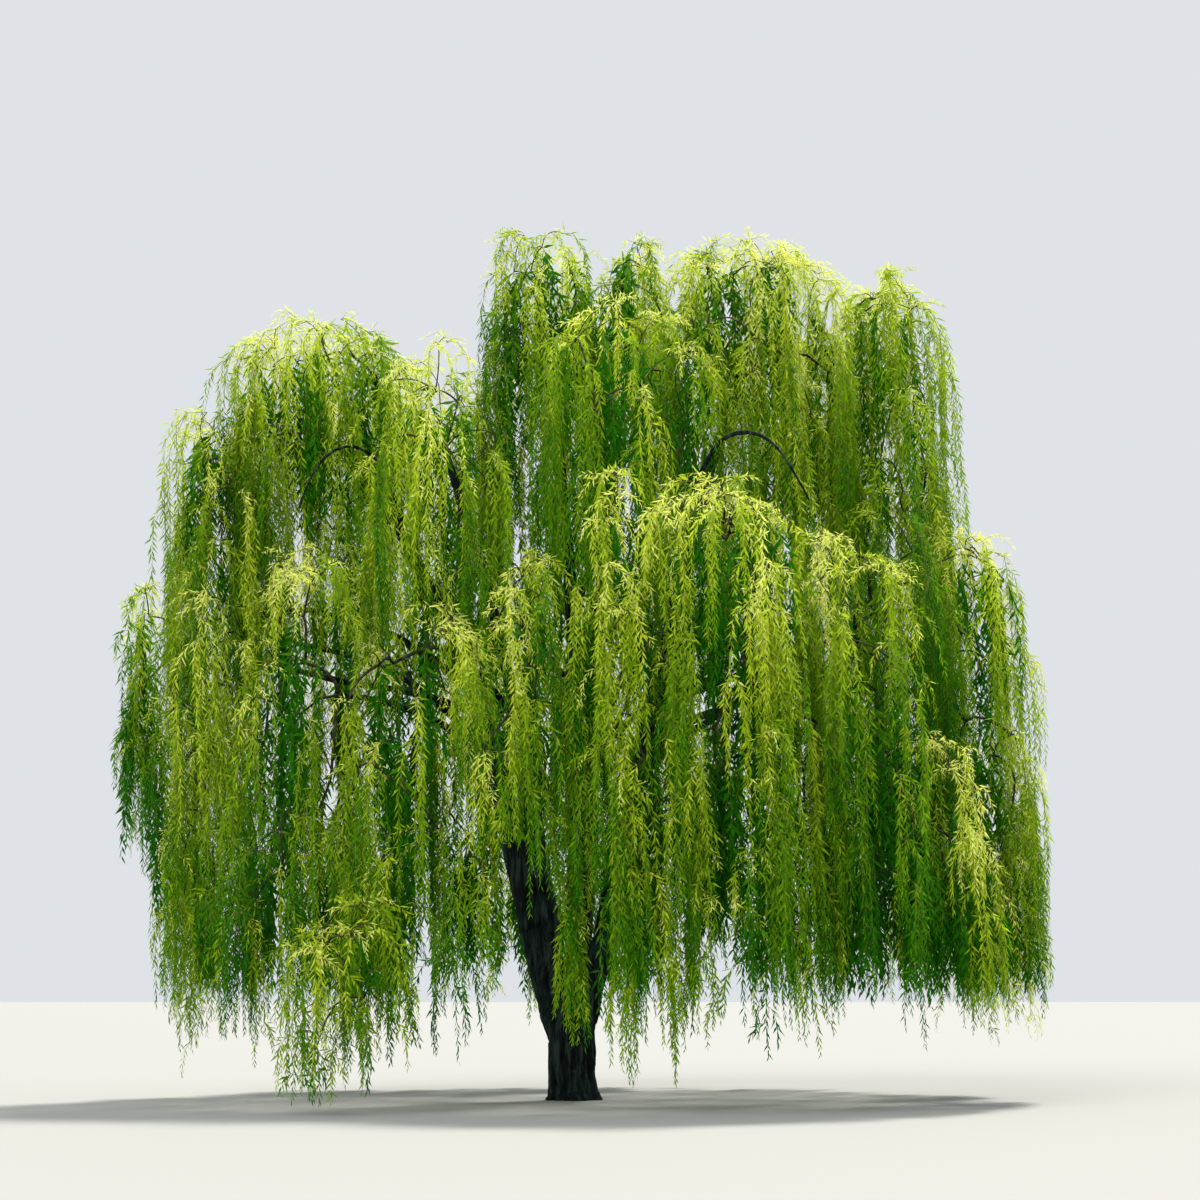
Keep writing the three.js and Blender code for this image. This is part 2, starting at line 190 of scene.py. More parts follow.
# Lengths of strands
USUAL_LENGTH = (1.6, 4.0)
LONG_LENGTH = (3.0, 6.5)
LONG_SHARE = 0.3
SHORT_LENGTH = (0.8, 1.7)
BELOW_THE_MASS = (0.15, 0.7)  # how far a lock may hang below its mass
BELOW_AN_UPPER_MASS = 0.8  # beside that
BELOW_NOTHING = 0.3  # above its mass's lowest point, where a lock has no underside below it
SIDE_PLACES = (0.01, 0.7)  # where side twigs leave a lock, from 0 to 1
SIDE_CROWDING = 1.1  # above 1 they crowd towards its head
SIDE_LENGTH = (0.6, 1.05)  # of what is left of the lock
SHORTEST_SIDE = 0.35
SIDES_FOR = 2.2  # metres of lock that have the usual number of side twigs
SIDES_SHARE = (0.4, 1.4)  # of that number, at least and at most
SPRIG_LENGTH = (0.25, 0.65)
SHORTEST_SPRIG = 0.05
LAST_SPRIG = 0.85  # how far down its lock a sprig may start, from 0 to 1

# How light the leaves are, from 0 to 1, as painted light and shade: lighter high in a mass and on a crest
# that faces up, before each mass's own painted light and shade
LIGHT_AT_THE_HEM = 0.5
LIGHT_OF_HEIGHT = 0.14
LIGHT_OF_A_CREST = 0.2
LIGHT_OF_A_SLOT = {"upper_foliage": 0.01, "curtain_foliage": 0.03}
LIGHT_SPREAD = {"lock": 0.12, "side": 0.06, "filler": 0.1, "tress": 0.06}
SHADE = 0.2  # how much darker some locks are than their neighbours
SHADED_SHARE = 0.16  # of the locks, which are the darker ones
TRESS_LIGHT = 0.62
# Painted light that sprigs add to their lock's, most round its head, and painted shade the further below
# the head they start
SPRIG_LIGHT = (0.05, 0.44, 0.3)  # the least, and the most at a lock's head and below it
SPRIG_DROP = 0.6  # how much its place below the head darkens a sprig

SIDE_TWIGS = (4, 7)
SPRIGS_ON_A_CREST = 7
SPRIGS_ON_A_SIDE = 2
HEAD_LENGTH = 0.6  # of a lock, where the shoots spring out
HEAD_SHARE = 0.55  # of the shoots, which stand there
ARCH_SHARE = 0.6  # of those, which stand on the twig that leads to the lock
SPRIGS_REACH = 2.2  # how far down a lock they go
LEAFY_SHARE = 0.22  # of the locks, which have more shoots round their heads
SPRIGS_ON_A_LEAFY_LOCK = 5
STRAND_POINTS = 13
STRAND_CROWDING = 1.5  # above 1 the points crowd towards the top
MAIN_MARKS = [0, 2, 4, 7, 9, 12]  # the points that a stem goes through
SIDE_MARKS = [0, 3, 7, 12]
SPRIG_MARKS = [0, 6, 12]
STRAND_SIDES = 3
STRAND_RADIUS = 0.0048
STRAND_TIP = 0.1  # of its thickness at its head
THICKNESS = {"main": 1.25, "sprig": 0.8}  # beside a side twig's
WIND = 0.03  # drift to the right for each metre that a strand hangs
SWAY = 0.045
SWAY_SHARES = (0.3, 1)
SWAY_WAVES = 1.9  # radians to the metre
DEPTH_SWAY = 0.7  # of its sway, in depth
DEPTH_WAVES = 0.8
TWIG_RADIUS = 0.006  # of a twig that carries one lock
TWIG_GROWTH = 0.45  # how fast a twig thickens with the number of locks that it carries
TWIG_POINTS = 5
TWIG_SIDES = 4
TWIG_THINNING = 0.9  # at a twig's tip
TWIG_FORK = 0.4  # of its parent's thickness at its foot, and the rest is its own
TWIG_BOW = 0.22  # how high a twig arches, beside its level length
TWIG_WANDER = 0.07
TWIG_DETOUR = 0.22  # how much a longer way from the bough counts
NEAR_A_LIMB = 3.5  # a mass this near to a limb's tip grows from it

LOWEST_TIP = 0.12  # above the ground
TRESSES = 5  # locks that hang before the fork, and where they start and end
TRESS_X = (-0.06, 0.1)
TRESS_Y = (-4.1, -3.5)
TRESS_TOP = (2.6, 3.6)
TRESS_TIP = (0.65, 1.1)

# Views through the foliage that the hanging twigs leave open: lowest and highest x, furthest y, the
# height above which a twig that would cross the view ends, and the share that crosses it all the same
VIEWS_THROUGH = [
    (-0.84, -0.54, -1.0, 3.5, 0.08),
    (-0.64, -0.32, -1.0, 2.4, 0.06),
    (0.26, 0.48, -0.3, 2.6, 0.12),
    (-2.3, -0.95, 6.0, 1.9, 0.55),
    (1.4, 2.6, 6.0, 2.2, 0.55),
]
NARROW_VIEWS = 3  # the first of them, which the side twigs and sprigs leave open too

SHORTEST_LOCK = 0.7
SHORTEST_STUB = 0.15  # of a strand that a view through the foliage cuts short
SHORT_SHARE = 0.4  # of the locks on a crest

# Locks inside the crown, which are added where a line of sight through it meets too few leaves. SIGHTS
# gives degrees round from -Y towards +X, and the eye's height.
SIGHTS = [(0, 1.6), (90, 1.6), (45, 18.0), (225, 11.0)]
SIGHT_DISTANCE = 40.0
COVER_CELL = 0.38
COVER_CELLS = 54  # along each side of a map of the crown
COVER_WANTED = 4.0  # leaves on such a line
COVER_FLOOR = 1.5  # the crown may be seen through below this height
COVER_SHARE = 0.5  # of a leaf's area, as it is seen from a level way
FILLERS = 480  # at most
SMALLEST_GAIN = 4.2  # leaves on the lines that a filling lock crosses
FILLER_TRIES = 600  # for each mass
FILLER_DEPTH = 0.26  # how far inside its mass a filling lock starts, at least
FILLER_LENGTH = (1.3, 2.8)

REACH_OF_A_BEND = 1.8  # how far out a strand gets, beside its bend
SMALLEST_BEND = 0.02
LEAST_WAY = 0.01  # so that no level direction is divided by zero
SPARE = {"main": -0.05, "side": 0.08, "sprig": 0.1}  # how far past the CAD's box a strand may bend

# Leaves
LEAF_SPACING = 0.0335
LEAF_LENGTH = 0.165
LEAF_WIDTH = 0.032
LEAF_FOLD = 0.16  # how far its edges stand up, beside its width
LEAF_WIDEST = 0.36
BROADER = 0.6  # how much of a longer leaf's extra it has in breadth
SPRIG_SPACING = 0.029
# Painted shade: leaves darken for each metre below their lock's head, down to DARKENS_FOR
PAINTED_SHADE_BELOW_HEAD = {"upper_foliage": 0.14, "curtain_foliage": 0.17}  # for each metre below a lock's head
DARKENS_FOR = 2.2  # metres below it
LEAF_UP = 0.4  # how far leaves face up, beside how far they face out of the crown
LEAF_TURN = 0.8  # and how much they are turned at random
LEAF_ROUND = 2.4  # radians round the strand from one leaf to the next
STRAND_ROUND = 1.7  # and from one strand to the next
ROUND_SPREAD = 0.5
LEAF_PLACES = (0.1, 0.9)  # within a leaf's own stretch of the strand
LEAF_ANGLES = (0.4, 1.1)  # between a leaf and its strand, in radians
SPRIG_LEAF_ANGLES = (0.5, 1.2)
SPRIG_LEAF_SIZE = 0.74
LEAF_CLOSING = (1.1, 0.4)  # that angle's share at the strand's head, and what it loses towards the tip
LEAF_DROOP = 0.3
TIP_FADE = 0.45  # how much smaller the last leaves are
LEAF_LENGTHS = (0.75, 1.2)
LEAF_WIDTHS = (0.8, 1.15)
LEAF_LIGHT_SPREAD = 0.045
LIGHT_THROUGH = 0.38  # the share of a leaf's light that comes through it
GLOW = 1.25  # how much brighter its colour is in that light

TWO_FACES = np.array([[0, 1, 2], [0, 2, 3]])  # between four corners
STANDS_FOR_MASSES = 2  # the colour, counted from 0, whose leaves replace the CAD masses

# Leaf colours from deep shade to full sun
TINTS = [
    ("deep", (0.020, 0.155, 0.001)),
    ("green", (0.070, 0.235, 0.002)),
    ("mid", (0.165, 0.325, 0.004)),
    ("light", (0.295, 0.440, 0.010)),
    ("pale", (0.500, 0.620, 0.035)),
    ("sunlit", (0.760, 0.820, 0.180)),
]

# Floor, sky and camera
FLOOR_SIZE = 600
FLOOR_COLOUR = (0.31, 0.31, 0.3, 1)
SKY_COLOUR = (0.92, 0.96, 1.0, 1)
SKY_STRENGTH = 0.8
CAMERA_PLACE = (0.40, -40.0, 1.6)
CAMERA_LENS = 81
CAMERA_PITCH = 8.2  # degrees up


# Arrays and meshes
def unit(vectors):
    return vectors / np.maximum(norm(vectors, axis=-1, keepdims=True), 1e-9)


def triples(items, key, kind=np.float32):
    """Three numbers for each item of a mesh."""
    numbers = np.empty(len(items) * 3, kind)
    items.foreach_get(key, numbers)
    return numbers.reshape(-1, 3)


def node_arrays(name):
    """The corners and triangles of a CAD node."""
    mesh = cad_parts[name].data
    mesh.calc_loop_triangles()
    points = triples(mesh.vertices, "co").astype(float)
    return points, triples(mesh.loop_triangles, "vertices", np.int32)


def new_mesh(name, points, triangles, smooth=True):
    mesh = bpy.data.meshes.new(name)
    mesh.from_pydata(points, [], triangles, shade_flat=not smooth)
    return mesh


def new_object(name, data):
    made = bpy.data.objects.new(name, data)
    bpy.context.scene.collection.objects.link(made)
    return made


def new_piece(name, mesh, material, replaced=()):
    """A piece, with its slot and the CAD nodes that it replaces."""
    piece = new_object(name, mesh)
    mesh.materials.append(material)
    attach(piece, "root")
    if replaced:
        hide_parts(*replaced)
    return piece


def joined(parts):
    """One list of points and triangles from several."""
    shift = np.cumsum([0] + [len(points) for points, _ in parts[:-1]])
    points = np.concatenate([points for points, _ in parts])
    triangles = np.concatenate([faces + start for (_, faces), start in zip(parts, shift)])
    return points, triangles


def tubes(paths, radii, sides, level, pointed=False):
    """Closed tubes along many paths of as many points each. level is square to each path's plane."""
    count, rings = paths.shape[:2]
    along = unit(np.gradient(paths, axis=1))
    across = unit(level[:, None] - (level[:, None] * along).sum(-1, keepdims=True) * along)
    other = np.cross(along, across)
    angles = np.arange(sides) * TURN / sides
    ring = np.cos(angles)[:, None] * across[:, :, None] + np.sin(angles)[:, None] * other[:, :, None]
    points = paths[:, :, None] + ring * radii[:, :, None, None]
    corner = np.arange(sides)
    after = (corner + 1) % sides
    start = np.arange(rings - 1)[:, None] * sides
    a, b = start + corner, start + after
    wall = np.stack([a, b, b + sides, a, b + sides, a + sides], -1).reshape(-1, 3)
    fan = np.stack([np.zeros(sides - 2, int), corner[1:-1], corner[2:]], -1)
    top = (rings - 1) * sides
    if pointed:
        cone = np.stack([top - sides + corner, top - sides + after, np.full(sides, top)], -1)
        faces = np.concatenate([wall[: -2 * sides], fan[:, ::-1], cone])
        points = np.concatenate([points[:, :-1].reshape(count, -1, 3), paths[:, -1:]], axis=1)
    else:
        faces = np.concatenate([wall, fan[:, ::-1], fan + top])
        points = points.reshape(count, -1, 3)
    faces = faces[None] + (np.arange(count) * points.shape[1])[:, None, None]
    return points.reshape(-1, 3), faces.reshape(-1, 3)


# The axes of limbs and boughs
def centre_line(name, foot):
    """Points and radii along the axis of a bough's node, from the corner nearest to foot."""
    points, triangles = node_arrays(name)
    edges = np.unique(np.sort(triangles[:, [0, 1, 1, 2, 2, 0]].reshape(-1, 2), axis=1), axis=0)
    starts, ends = points[edges[:, 0]], points[edges[:, 1]]
    near = norm(points - foot, axis=1)
    place = points[near <= near.min() + FOOT_CORNERS].mean(0)
    ahead = unit(points[near <= near.min() + LEADING_CORNERS].mean(0) - place)
    line, radii = [], []
    for _ in range(LIMB_SLICES):
        behind, before = (starts - place) @ ahead, (ends - place) @ ahead
        crossing = behind * before < 0
        share = behind[crossing] / (behind[crossing] - before[crossing])
        cut = starts[crossing] + share[:, None] * (ends - starts)[crossing]
        cut = cut[norm(cut - place, axis=1) < WIDEST_SLICE]
        if len(cut) < 3 and line:
            break
        if len(cut) >= 3:
            middle = (cut.min(0) + cut.max(0)) / 2
            if line and norm(middle - line[-1]) > TINY:
                ahead = unit(0.5 * ahead + 0.5 * unit(middle - line[-1]))
            line.append(middle)
            radii.append(norm(cut - middle, axis=1).mean())
            place = middle
        place = place + ahead * LIMB_STEP
    return np.array(line[1:-1]), np.array(radii[1:-1])


def smoothed(values, times):
    for _ in range(times):
        inner = (values[:-2] + 2 * values[1:-1] + values[2:]) / 4
        values = np.concatenate([values[:1], inner, values[-1:]])
    return values


def lengths_along(line):
    """How far along an axis each of its points is."""
    return np.concatenate([[0], np.cumsum(norm(np.diff(line, axis=0), axis=1))])


def resampled(line, radii, step):
    """The same axis with points at even steps."""
    lengths = lengths_along(line)
    marks = np.linspace(0, lengths[-1], max(4, int(lengths[-1] / step)))
    points = np.stack([np.interp(marks, lengths, line[:, axis]) for axis in range(3)], -1)
    return points, np.interp(marks, lengths, radii)


def buried(line, radii):
    """The axis with its foot run on backwards into its limb."""
    foot = line[0] + unit(line[0] - line[3]) * BURIED
    return np.concatenate([[foot], line]), np.concatenate([radii[:1], radii])


def wandering(line, seed, share):
    """The axis with the slight bends of a grown limb, none at its two ends."""
    rise = np.linspace(0, 1, len(line))
    hold = np.minimum(1, 6 * rise * (1 - rise))
    apart = 7.3 * seed
    places = [Vector((length * WANDER_WAVES, apart, 0.5)) for length in lengths_along(line)]
    shift = np.array([noise.noise_vector(place) for place in places])
    return line + shift * (BOUGH_WANDER * share * hold)[:, None]


def level_of(line):
    """A level direction square to the way that an axis leads."""
    way = line[-1] - line[0]
    side = np.array([-way[1], way[0], 0.0])
    return unit(side) if norm(side) > TINY else np.array([0.0, 1.0, 0.0])


def furrowed(points, normals, depth):
    """Points moved along their normals by the furrows and swellings of bark."""
    moved = np.empty(len(points))
    scale = np.array(FURROWS)
    for i, (ridge, swell) in enumerate(zip(points * scale, points * SWELLS)):
        bend = noise.noise(Vector(swell))
        ridge = Vector(ridge) + Vector((bend, -bend, 0)) * FURROW_BEND
        crack = 1 - abs(noise.noise(ridge)) * CRACK_STEEPNESS
        moved[i] = -depth * max(crack, 0) ** 2 + SWELL_DEPTH * bend * depth / FURROW_DEPTH
    return points + normals * moved[:, None]


def one_skin(parts):
    """Several closed shapes as one, by voxels, and smoothed where they meet."""
    source = new_object("skin_source", new_mesh("skin_source", *joined(parts)))
    remesh = source.modifiers.new("voxels", "REMESH")
    remesh.mode = "VOXEL"
    remesh.voxel_size = BARK_VOXEL
    relax = source.modifiers.new("relax", "SMOOTH")
    relax.factor = 0.5
    relax.iterations = STUMP_SMOOTHING
    graph = bpy.context.evaluated_depsgraph_get()
    mesh = bpy.data.meshes.new_from_object(source.evaluated_get(graph))
    bpy.data.objects.remove(source)
    return mesh


def tube(line, radii, sides):
    return tubes(line[None], radii[None], sides, level_of(line)[None])


# Main limbs and boughs
def bezier(points, shares):
    """Points on the curve from the first point to the last, bent towards the other two."""
    a, b, c, d = (np.array(point, float) for point in points)
    t = shares[:, None]
    return (1 - t) ** 3 * a + 3 * (1 - t) ** 2 * t * b + 3 * (1 - t) * t**2 * c + t**3 * d


curve_shares = np.linspace(0, 1, CURVE_POINTS)
limb_axes = {}
for index, name in enumerate(LIMBS):
    path, wide, thin = LIMB_PATHS[name]
    line = bezier(path, curve_shares)
    lengths = lengths_along(line)
    radii = wide + (thin - wide) * (lengths / lengths[-1]) ** LIMB_TAPER
    line, radii = resampled(line, radii, LIMB_RING)
    limb_axes[name] = (wandering(line, index, WANDER_SHARES[0]), radii)

limb_points = np.concatenate([line for line, _ in limb_axes.values()])
bough_axes = {}
for index, name in enumerate(BOUGHS, FIRST_BOUGH_SEED):
    corners = node_arrays(name)[0]
    gaps = norm(corners[:, None] - limb_points, axis=2).min(1)
    line, radii = centre_line(name, corners[gaps.argmin()])
    line, radii = smoothed(line, BOUGH_SMOOTHING), smoothed(radii, BOUGH_SMOOTHING)
    line, radii = resampled(line, radii, BOUGH_RING)
    radii = np.maximum.accumulate(radii[::-1])[::-1]
    line, radii = resampled(*buried(line, radii), BOUGH_RING)
    bough_axes[name] = (wandering(line, index, WANDER_SHARES[1]), radii)

for limb, share, path, wide, thin in OPEN_BOUGHS:
    axis = limb_axes[limb][0]
    line = bezier([axis[int(share * len(axis))], *path], curve_shares)
    line, radii = resampled(line, np.linspace(wide, thin, len(line)), BOUGH_RING)
    index = len(bough_axes)
    bough_axes[f"open_bough_{index}"] = (wandering(line, index, WANDER_SHARES[2]), radii)

# Trunk and the feet of the limbs are one skin; the upper limbs start inside its ends
stump_parts = [node_arrays("trunk")]
upper_parts = []
for name in LIMBS:
    line, radii = limb_axes[name]
    cut = int(STUMP_LENGTH / LIMB_RING)
    foot_radii = radii[: cut + 1].copy()
    foot_radii[-len(STUMP_ENDS) :] *= STUMP_ENDS
    stump_parts.append(tube(line[: cut + 1], foot_radii, LIMB_SIDES))
    start = cut - len(STUMP_ENDS)
    upper_parts.append((line[start:], radii[start:]))
skin = one_skin(stump_parts)
smooth_points = triples(skin.vertices, "co")
skin_points = furrowed(smooth_points, triples(skin.vertex_normals, "vector"), FURROW_DEPTH)
skin_points[:, 2] = np.where(smooth_points[:, 2] < BARK_VOXEL, 0, np.maximum(skin_points[:, 2], 0))
skin.vertices.foreach_set("co", skin_points.astype(np.float32).ravel())
skin.update()


def bark_tube(line, radii, sides, depth):
    """A closed tube with the relief of bark."""
    points, faces = tube(line, radii, sides)
    centres = np.repeat(line, sides, axis=0)
    return furrowed(points, unit(points - centres), depth), faces


# Materials
def set_inputs(node, inputs):
    """Gives each input a value, or links another node's output to it."""
    for key, value in inputs.items():
        if isinstance(value, bpy.types.NodeSocket):
            node.id_data.links.new(value, node.inputs[key])
        else:
            node.inputs[key].default_value = value


def new_node(tree, kind, inputs, output):
    """An output of a new node."""
    node = tree.nodes.new("ShaderNode" + kind)
    set_inputs(node, inputs)
    return node.outputs[output]


def new_material(name, **inputs):
    """A material, its nodes and its shader."""
    material = bpy.data.materials.new(name)
    material.use_nodes = True
    tree = material.node_tree
    shader = tree.nodes["Principled BSDF"]
    set_inputs(shader, inputs)
    return material, tree, shader


def noise_node(tree, place, scale, detail, stretch=(1, 1, 1)):
    """A noise pattern in object space, scale waves to the metre."""
    mapped = new_node(tree, "Mapping", {"Vector": place, "Scale": stretch}, "Vector")
    return new_node(tree, "TexNoise", {"Vector": mapped, "Scale": scale, "Detail": detail}, "Fac")


def ramp_node(tree, factor, stops):
    ramp = tree.nodes.new("ShaderNodeValToRGB")
    for element, (place, colour) in zip(ramp.color_ramp.elements, (stops[0], stops[-1])):
        element.position = place
        element.color = (*colour, 1)
    for place, colour in stops[1:-1]:
        ramp.color_ramp.elements.new(place).color = (*colour, 1)
    set_inputs(ramp, {"Fac": factor})
    return ramp.outputs["Color"]


def bark_material(name, stops, patch, patch_share):
    """Furrowed bark: dark cracks, paler ridges and broad patches of another colour."""
    material, tree, shader = new_material(name, Roughness=0.88)
    place = tree.nodes.new("ShaderNodeTexCoord").outputs["Object"]
    ridges = noise_node(tree, place, scale=13, detail=6, stretch=(1, 1, 0.16))
    patches = noise_node(tree, place, scale=2.6, detail=3)
    limits = {"From Min": 0.5, "From Max": 0.72, "To Max": patch_share}
    share = new_node(tree, "MapRange", {"Value": patches, **limits}, "Result")
    mix = tree.nodes.new("ShaderNodeMix")
    mix.data_type = "RGBA"
    set_inputs(mix, {"Factor": share, "A": ramp_node(tree, ridges, stops), "B": (*patch, 1)})
    cracks = noise_node(tree, place, scale=42, detail=8, stretch=(1, 1, 0.22))
    bump = new_node(tree, "Bump", {"Height": cracks, "Strength": 0.9, "Distance": 0.02}, "Normal")
    set_inputs(shader, {"Base Color": mix.outputs["Result"], "Normal": bump, "Specular IOR Level": 0.15})
    return material


def leaf_material(name, colour):
    """A thin leaf: a soft sheen, and light that comes through from behind."""
    material, tree, shader = new_material(name, Roughness=0.55, IOR=1.15)
    set_inputs(shader, {"Base Color": (*colour, 1)})
    glow = (*(min(1, GLOW * part) for part in colour), 1)
    through = new_node(tree, "BsdfTranslucent", {"Color": glow}, "BSDF")
    both = {"Fac": LIGHT_THROUGH, 1: shader.outputs["BSDF"], 2: through}
    set_inputs(tree.nodes["Material Output"], {"Surface": new_node(tree, "MixShader", both, "Shader")})
    return material


def stem_material():
    material, tree, shader = new_material("stem", Roughness=0.6)
    place = tree.nodes.new("ShaderNodeTexCoord").outputs["Object"]
    pattern = noise_node(tree, place, scale=1.7, detail=2)
    stops = [(0.35, (0.085, 0.115, 0.016)), (0.65, (0.20, 0.21, 0.035))]
    set_inputs(shader, {"Base Color": ramp_node(tree, pattern, stops)})
    return material


# Painted shade: the trunk, limb and bough bark is nearly black with a cold blue-green cast, darker than its
# own grey-brown, for the deep shade it stands in under the crown with the light behind it
trunk_bark_in_painted_shade = bark_material(
    "trunk_bark_in_painted_shade",
    [(0.40, (0.0004, 0.002, 0.002)), (0.5, (0.004, 0.0105, 0.0105)), (0.62, (0.028, 0.042, 0.038))],
    (0.016, 0.036, 0.034),
    0.5,
)
twig_bark = bark_material(
    "twig_bark",
    [(0.36, (0.014, 0.012, 0.008)), (0.5, (0.035, 0.032, 0.018)), (0.66, (0.085, 0.075, 0.045))],
    (0.06, 0.075, 0.035),
    0.6,
)
stem = stem_material()
leaf_materials = [leaf_material("leaf_" + name, colour) for name, colour in TINTS]

# The pieces of wood
new_piece("trunk_skin", skin, trunk_bark_in_painted_shade, ["trunk"])
limb_depth, bough_depth = LIMB_RELIEF * FURROW_DEPTH, BOUGH_RELIEF * FURROW_DEPTH
limb_parts = [bark_tube(line, radii, LIMB_SIDES, limb_depth) for line, radii in upper_parts]
new_piece("limbs", new_mesh("limbs", *joined(limb_parts)), trunk_bark_in_painted_shade, LIMBS)
bough_parts = [bark_tube(line, radii, BOUGH_SIDES, bough_depth) for line, radii in bough_axes.values()]
new_piece("boughs", new_mesh("boughs", *joined(bough_parts)), trunk_bark_in_painted_shade, BOUGHS)


# Where the locks of a mass start
def drawn(limits, count):
    """Random numbers between two limits."""
    return random.uniform(*limits, count)


def surface_places(points, triangles, count):
    """Random places on a surface and the way that each faces."""
    a, b, c = (points[triangles[:, corner]] for corner in range(3))
    normals = np.cross(b - a, c - a)
    areas = norm(normals, axis=1)
    pick = random.choice(len(triangles), count, p=areas / areas.sum())
    u, v = random.random((2, count, 1))
    over = u + v > 1
    u, v = np.where(over, 1 - u, u), np.where(over, 1 - v, v)
    return a[pick] + u * (b - a)[pick] + v * (c - a)[pick], unit(normals[pick]), areas.sum() / 2


def search_tree(points, triangles):
    return BVHTree.FromPolygons(points.tolist(), triangles.tolist())


mass_arrays = {name: node_arrays(name) for name in MASSES}
mass_trees = {name: search_tree(*arrays) for name, arrays in mass_arrays.items()}
crown_tree = search_tree(*joined(list(mass_arrays.values())))


def lock_places(name):
    """Places on a mass's surface, the way each faces, its kind of lock and how deep that starts."""
    points, triangles = mass_arrays[name]
    area = surface_places(points, triangles, 1)[2]
    spots, ways, _ = surface_places(points, triangles, int(area * CANDIDATES))
    outward = (unit(spots[:, :2]) * ways[:, :2]).sum(1)
    rays = zip(spots + COVER_START * ways, ways)
    hits = [crown_tree.ray_cast(Vector(eye), Vector(way), COVER_REACH)[0] for eye, way in rays]
    covered = np.array([hit is not None for hit in hits])
    up = ways[:, 2]
    cases = [up < UNDER_SLOPE, covered, up > CREST_SLOPE, outward < INNER_SLOPE]
    share = np.select(cases, [0, SHARE_BURIED, SHARE_CREST[SLOTS[name]], SHARE_INNER], 1.0)
    wanted = area * share.mean() * LOCKS_TO_A_SQUARE_METRE * UNLIKE.get(name, LIKE_THE_OTHERS)[0]
    kept = [spots[:, 2].argmax(), (norm(spots[:, :2], axis=1) * ~covered).argmax()]
    for i in range(len(spots)):
        if random.random() > share[i] / share.max():
            continue
        if norm(spots[kept] - spots[i], axis=1).min() < LOCK_SPACING:
            continue
        kept.append(i)
        if len(kept) >= wanted:
            break
    kinds = np.where(covered, CORE, np.where(outward < INNER_SLOPE, INNER, OPEN))[kept]
    depths = random.uniform(0, DEPTH_SPREAD, len(kept))
    depths = depths + np.where(up[kept] > CREST_SLOPE, 0.0, SIDE_DEPTH)
    return spots[kept], ways[kept], kinds, depths


# How a strand hangs
class Strands:
    """A group of strands: starts, headings and so on, as columns with a row for every strand."""

    def __init__(self, **columns):
        for name, column in columns.items():
            setattr(self, name, np.asarray(column, float))

    def picked(self, rows):
        return Strands(**{name: column[rows] for name, column in vars(self).items()})


def sway_at(heights, group):
    """How far each strand of a group is moved sideways at a height."""
    phase, size = group.phase[:, None], group.sway[:, None]
    aside = size * np.sin(SWAY_WAVES * heights + phase) - WIND * heights
    away = DEPTH_SWAY * size * np.cos(DEPTH_WAVES * SWAY_WAVES * heights + 2 * phase)
    return np.stack([aside, away], -1)


def level_way(heading):
    return np.stack([np.cos(heading), np.sin(heading)], -1)


def hang(group):
    """The points down each strand: it leaves its start at the angle rise, and bends until it hangs."""
    shares = np.linspace(0, 1, STRAND_POINTS) ** STRAND_CROWDING
    run = group.length[:, None] * shares
    middle = (run[:, 1:] + run[:, :-1]) / 2
    turned = (group.rise[:, None] + math.pi / 2) * np.exp(-middle / group.bend[:, None])
    slope = turned - math.pi / 2
    steps = np.diff(run, axis=1)
    out = np.pad(np.cumsum(np.cos(slope) * steps, axis=1), ((0, 0), (1, 0)))
    rise = np.pad(np.cumsum(np.sin(slope) * steps, axis=1), ((0, 0), (1, 0)))
    start = group.start
    heights = start[:, 2:] + rise
    flat = start[:, None, :2] + out[..., None] * level_way(group.heading)[:, None]
    flat = flat + sway_at(heights, group) - sway_at(start[:, 2:], group)
    return np.concatenate([flat, heights[..., None]], -1)


def between(paths, strand, share):
    """The place and direction at a share, from 0 to 1, of the length of given strands."""
    mark = np.clip(share, 0, 0.9999) ** (1 / STRAND_CROWDING) * (STRAND_POINTS - 1)
    low = mark.astype(int)
    start, end = paths[strand, low], paths[strand, low + 1]
    return start + (mark - low)[:, None] * (end - start), unit(end - start)


def level_across(heading):
    """The level direction square to a heading."""
    return np.stack([-np.sin(heading), np.cos(heading), np.zeros(len(heading))], -1)


def strand_tubes(group, paths, marks):
    """The stems of a group, through some of its points."""
    radii = group.radius[:, None] * np.linspace(1, STRAND_TIP, len(marks))
    return tubes(paths[:, marks], radii, STRAND_SIDES, level_across(group.heading), pointed=True)


